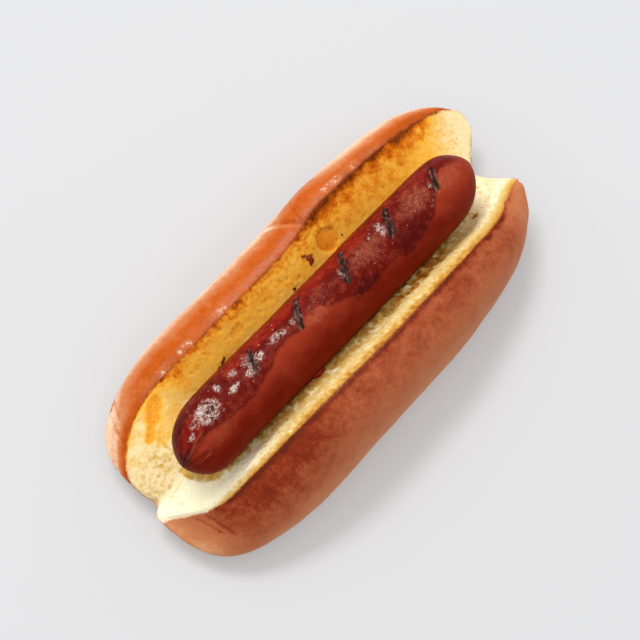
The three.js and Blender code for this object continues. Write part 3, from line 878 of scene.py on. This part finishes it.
# Pale seared skin, partly painted sheen, and pale ridges as painted highlights; dark, shrivelled
# skin, with painted shade in the creases.
pale_sheen = add("MapRange", {"Value": crest, "To Min": 0.45, "To Max": 1.3})
pale_sheen = add("Math", {0: pale_sheen, 1: field["pale_sheen"]}, operation="MULTIPLY")
seared_sheen_colour = add("Mix", {0: fine, 6: SEARED_SHEEN_ROSE, 7: SEARED_SHEEN_PINK}, data_type="RGBA")
dark = add("MapRange", {
    "Value": fine, "From Min": 0.3, "From Max": 0.6, "To Min": 0.95, "To Max": 0.65})
dark = add("Math", {0: dark, 1: field["maroon"]}, operation="MULTIPLY")

# Painted sparkles: about one cell in eight holds a pale dot of 0.1 to 0.3 mm, painted as a
# highlight.
cells = add("TexVoronoi", {"Vector": place, "Scale": grain(1.0)})
chance = add("SeparateColor", {"Color": cells.outputs["Color"]})
sparkle_dot = add("MapRange", {"Value": chance, "From Min": SPARKLE_CHANCE, "To Min": 0.06, "To Max": 0.28})
sparkle_dot = add("Math", {0: sparkle_dot, 1: cells}, operation="SUBTRACT")
sparkle_dot = add("MapRange", {"Value": sparkle_dot, "From Max": 0.08})
chosen = add("Math", {0: chance, 1: SPARKLE_CHANCE}, operation="GREATER_THAN")
for factor in (chosen, field["oily"], 0.55):
    sparkle_dot = add("Math", {0: sparkle_dot, 1: factor}, operation="MULTIPLY")

# Ash clings to the crests and leaves the hollows rosy; the grey and white on the crests are partly
# ash, partly painted glints.
dusted_and_lit = add("Math", {0: patchy, 1: 1.4, 2: crest}, operation="MULTIPLY_ADD")
ash_and_glint_tone = add("Math", {0: dusted_and_lit, 1: 0.5}, operation="MULTIPLY")
ash_and_glint_colour = add("ValToRGB", {"Fac": ash_and_glint_tone}, stops=(
    (0.28, BURNT_BROWN), (0.35, ASH_ROSE), (0.52, ASH_AND_GLINT_GREY), (0.84, ASH_AND_GLINT_WHITE)))
ash_and_glint_share = add("MapRange", {
    "Value": dusted_and_lit, "From Min": 0.5, "From Max": 1.2, "To Min": 0.7, "To Max": 0.9})
ash_and_glint_share = add("Math", {0: ash_and_glint_share, 1: field["ash_and_glints"]}, operation="MULTIPLY")

# The bars drew the char out into streaks along each burn; the grey streaks are painted glints.
smear = add("Mapping", {"Vector": place, "Rotation": (0, 0, BURN_SLANT), "Scale": (4, 1, 1)},
             vector_type="TEXTURE")
smear = add("TexNoise", {"Vector": smear, "Scale": grain(0.8), "Detail": 3.0})
burn_colour = add("ValToRGB", {"Fac": smear}, stops=(
    (0.44, BURNT_BLACK), (0.56, BURNT_BROWN), (0.72, BURNT_GLINT_GREY)))
burnt = add("Math", {0: smear, 1: -1.6, 2: 0.8}, operation="MULTIPLY_ADD")
burnt = add("Math", {0: burnt, 1: field["burn"]}, operation="ADD")
burnt = add("MapRange", {"Value": burnt, "From Min": 0.15, "From Max": 0.85, "To Max": 0.95})

colour = flank_colour
layers = ((field["oily"], oily_colour), (pale_sheen, seared_sheen_colour), (dark, MAROON), (sparkle_dot, SPARKLE_PINK),
          (ash_and_glint_share, ash_and_glint_colour), (burnt, burn_colour))
for share, layer in layers:
    colour = add("Mix", {0: share, 6: colour, 7: layer}, data_type="RGBA")

# Seeped fat lies in thin wet flecks. The oily skin is glossier than the flank, and creped.
rough = add("MapRange", {"Value": field["oily"], "To Min": 0.5, "To Max": 0.3})
wet = add("MapRange", {"Value": fine, "From Min": 0.56, "From Max": 0.70})
seeping = add("MapRange", {"Value": patchy, "From Min": 0.48, "From Max": 0.6})
for factor in (seeping, field["oily"], 0.6):
    wet = add("Math", {0: wet, 1: factor}, operation="MULTIPLY")
relief = add("MapRange", {"Value": field["oily"], "To Min": 0.08, "To Max": 0.6})
creping = add("Math", {0: crest, 1: 0.6, 2: fine}, operation="MULTIPLY_ADD")
bump = add("Bump", {"Height": creping, "Distance": 0.15 * MM, "Strength": relief})
shader = add("BsdfPrincipled", {
    "Base Color": colour, "Roughness": rough, "Normal": bump, "IOR": 1.45,
    "Specular IOR Level": 0.05, "Coat Weight": wet, "Coat Roughness": 0.35,
})
add("OutputMaterial", {"Surface": shader})
sausage.data.materials.append(casing)
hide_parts("sausage")
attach(sausage, "root")

# ---- Charred flakes --------------------------------------
# Flakes of burnt skin and crust that fell on the back crumb from the grill and stuck there: thin
# curled scraps, black-brown or rusty red.

# A dab is one flake or drop: rings round a domed top, and a share of its thickness sunk in.
DAB_SPOKES, DAB_RINGS = 18, 5
SUNK_SHARE, LUMPY_SHARE = 0.25, 0.3
OUTLINE_NOISE, TOP_NOISE, TOP_SEED = 1.7, 3, 9
FLAKE_RAGGEDNESS, FLAKE_SEED_STEP = 0.9, 3.7

# Place on the crumb as (u, out), half length and half width in mm, thickness, heading in degrees.
FLAKES = (
    ((8.2, 20.0), (2.0, 1.0), 0.55, 62), ((7.2, 21.3), (0.9, 0.5), 0.4, 150),
    ((-31.2, 16.9), (1.2, 0.45), 0.5, 40), ((-33.2, 16.0), (1.4, 0.5), 0.45, 12),
    ((-1.4, 16.7), (0.5, 0.4), 0.4, 80), ((20.3, 17.9), (0.4, 0.25), 0.25, 20),
)
FLAKE_RUST = (1.0, 1.0, 0.45, 0.45, 0.3, 0.8)
bun_normals = point_normals(bun_points, bun_faces)


def dab(place, half_size, thickness, heading, raggedness, seed):
    """A domed scrap lying on the crumb, sunk a little into it: its points and faces."""
    away = np.hypot(u_mm - place[0], signed_out - place[1])
    nearest = int(np.where(edge_mm > 0, np.inf, away).argmin())
    middle, up = bun_points[nearest], bun_normals[nearest]
    forward = np.array([math.cos(math.radians(heading)), math.sin(math.radians(heading)), 0])
    forward -= up * (forward @ up)
    forward /= np.linalg.norm(forward)
    aside = np.cross(up, forward)
    points = [middle + up * thickness]
    for ring in range(1, DAB_RINGS + 1):
        share = ring / DAB_RINGS
        for spoke in range(DAB_SPOKES):
            angle = 2 * math.pi * spoke / DAB_SPOKES
            cosine, sine = math.cos(angle), math.sin(angle)
            bite = noise.noise(Vector((cosine * OUTLINE_NOISE, sine * OUTLINE_NOISE, seed)))
            lift = thickness * ((1 + SUNK_SHARE) * math.sqrt(1 - share * share) - SUNK_SHARE)
            bump = noise.noise(Vector((angle, share * TOP_NOISE, seed + TOP_SEED)))
            lift += LUMPY_SHARE * raggedness * thickness * bump
            spread = forward * half_size[0] * cosine + aside * half_size[1] * sine
            points.append(middle + up * lift + (1 + raggedness * bite) * share * spread)
    points.append(middle - up * SUNK_SHARE * thickness)
    faces = []
    rim = 1 + (DAB_RINGS - 1) * DAB_SPOKES
    for spoke in range(DAB_SPOKES):
        beyond = (spoke + 1) % DAB_SPOKES
        faces.append((0, 1 + spoke, 1 + beyond))
        for near in range(1, rim, DAB_SPOKES):
            far = near + DAB_SPOKES
            faces.append((near + spoke, far + spoke, far + beyond, near + beyond))
        faces.append((rim + spoke, len(points) - 1, rim + beyond))
    return points, faces


def dabs_mesh(name, dabs, raggedness, seeds, **fields):
    """All the dabs as one piece. A field gives one number for each dab."""
    points, faces, owners = [], [], []
    for number, (row, seed) in enumerate(zip(dabs, seeds)):
        dab_points, dab_faces = dab(*row, raggedness, seed)
        faces += [[corner + len(points) for corner in face] for face in dab_faces]
        points += dab_points
        owners += [number] * len(dab_points)
    fields = {field: np.array(values)[owners] for field, values in fields.items()}
    return skin_mesh(name, np.array(points), faces, fields)


flake_seeds = [number * FLAKE_SEED_STEP for number in range(len(FLAKES))]
flakes = dabs_mesh("char_flakes", FLAKES, FLAKE_RAGGEDNESS, flake_seeds, rust=FLAKE_RUST)

# Charred casing and crust: dry, brittle carbon, with the red-brown of the meat where it isn't burnt
# through.
CHAR_BLACK, CHAR_BROWN, CHAR_RUST = map(linear, ("#24120A", "#4A2010", "#8A2C10"))

char = bpy.data.materials.new("charred_casing")
add = bare_nodes(char)
place = add("TexCoord").outputs["Object"]
rusty = add("Attribute", attribute_name="rust").outputs["Fac"]
crackle = add("TexNoise", {"Vector": place, "Scale": grain(0.6), "Detail": 3.0})
tone = add("Math", {0: crackle, 1: 0.9, 2: -0.3}, operation="MULTIPLY_ADD")
tone = add("Math", {0: rusty, 1: 0.6, 2: tone}, operation="MULTIPLY_ADD")
colour = add("ValToRGB", {"Fac": tone}, stops=(
    (0.1, CHAR_BLACK), (0.4, CHAR_BROWN), (0.85, CHAR_RUST)))
bump = add("Bump", {"Height": crackle, "Distance": 0.1 * MM, "Strength": 0.5})
shader = add("BsdfPrincipled", {
    "Base Color": colour, "Roughness": 0.6, "Normal": bump, "Specular IOR Level": 0.2,
})
add("OutputMaterial", {"Surface": shader})
flakes.data.materials.append(char)
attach(flakes, "root")

# ---- Meat juice ------------------------------------------
# A bead of meat juice that ran down off the sausage and stands on the front crumb, held by its own
# skin: a low, glossy red drop with a smaller one beside it.

JUICE_DROPS = (((-16.8, -15.3), (2.7, 1.9), 1.4, 4), ((-20.4, -14.9), (1.1, 0.8), 0.7, 0))
JUICE_RAGGEDNESS, JUICE_SEEDS = 0.35, (40, 41)
juice = dabs_mesh("meat_juice", JUICE_DROPS, JUICE_RAGGEDNESS, JUICE_SEEDS)

# Cooked meat juice: a thick, clear red liquid, so dark that it looks solid, with a wet gloss.
JUICE_RED, JUICE_DARK = map(linear, ("#9A0E08", "#5E0604"))

liquid = bpy.data.materials.new("meat_juice")
add = bare_nodes(liquid)
place = add("TexCoord").outputs["Object"]
swirl = add("TexNoise", {"Vector": place, "Scale": grain(1.5), "Detail": 2.0})
colour = add("Mix", {0: swirl, 6: JUICE_DARK, 7: JUICE_RED}, data_type="RGBA")
shader = add("BsdfPrincipled", {
    "Base Color": colour, "Roughness": 0.15, "IOR": 1.34, "Specular IOR Level": 0.4,
})
add("OutputMaterial", {"Surface": shader})
juice.data.materials.append(liquid)
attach(juice, "root")

# ---- Studio ----------------------------------------------
# A plain pale table, lit a little from below, under one soft lamp from behind the bun, in a bright
# white room. The floor is sized in mm, the lamp and the camera's distance in metres.

FLOOR_HALF = 1500
FLOOR_GLOW = 0.23
corners = np.array([(-1, -1, 0), (1, -1, 0), (1, 1, 0), (-1, 1, 0)])
floor = skin_mesh("table_top", corners * FLOOR_HALF, [(0, 1, 2, 3)], {})
acrylic = bpy.data.materials.new("lit_white_acrylic")
add = bare_nodes(acrylic)
shader = add("BsdfPrincipled", {
    "Base Color": linear("#A9A9AA"), "Roughness": 0.9, "Specular IOR Level": 0.0,
    "Emission Color": linear("#FFFFFF"), "Emission Strength": FLOOR_GLOW,
})
add("OutputMaterial", {"Surface": shader})
floor.data.materials.append(acrylic)


def stand_off(thing, target, swing, lift, distance):
    """Puts a lamp or camera off its target, swung round from the front and lifted, to face it."""
    swing, lift = math.radians(swing), math.radians(lift)
    level = math.cos(lift)
    back = Vector((math.sin(swing) * level, -math.cos(swing) * level, math.sin(lift)))
    thing.location = target + back * distance
    thing.rotation_mode = "QUATERNION"
    thing.rotation_quaternion = (-back).to_track_quat("-Z", "Y")
    bpy.context.scene.collection.objects.link(thing)


LAMP_SWING, LAMP_LIFT, LAMP_DISTANCE = 162, 58, 2.0
LAMP_LENGTH, LAMP_WIDTH = 1.0, 0.45
LAMP_WATTS = 24
softbox = bpy.data.lights.new("strip_softbox", "AREA")
softbox.shape = "RECTANGLE"
softbox.size, softbox.size_y = LAMP_LENGTH, LAMP_WIDTH
softbox.energy = LAMP_WATTS
lamp = bpy.data.objects.new("strip_softbox", softbox)
stand_off(lamp, Vector(), LAMP_SWING, LAMP_LIFT, LAMP_DISTANCE)

ROOM_LOW, ROOM_HIGH = 0.54, 1.19
ROOM_WHITE = (0.985, 0.99, 1.0, 1.0)
room = bpy.data.worlds.new("white_room")
add = bare_nodes(room)
toward_sky = add("SeparateXYZ", {0: add("TexCoord").outputs["Generated"]}).outputs["Z"]
glow = add("MapRange", {"Value": toward_sky, "To Min": ROOM_LOW, "To Max": ROOM_HIGH})
sky = add("Background", {"Color": ROOM_WHITE, "Strength": glow})
add("OutputWorld", {"Surface": sky})
bpy.context.scene.world = room

CAMERA_SWING, CAMERA_LIFT, CAMERA_DISTANCE = -48, 69, 0.4466
CAMERA_AIM = Vector((-3.85, 2.29, 14.9)) * MM
CAMERA_LENS, CAMERA_SENSOR = 85, 36
camera_data = bpy.data.cameras.new("camera")
camera_data.lens, camera_data.sensor_width = CAMERA_LENS, CAMERA_SENSOR
camera = bpy.data.objects.new("camera", camera_data)
stand_off(camera, CAMERA_AIM, CAMERA_SWING, CAMERA_LIFT, CAMERA_DISTANCE)
bpy.context.scene.camera = camera
bpy.context.scene.view_settings.view_transform = "Standard"
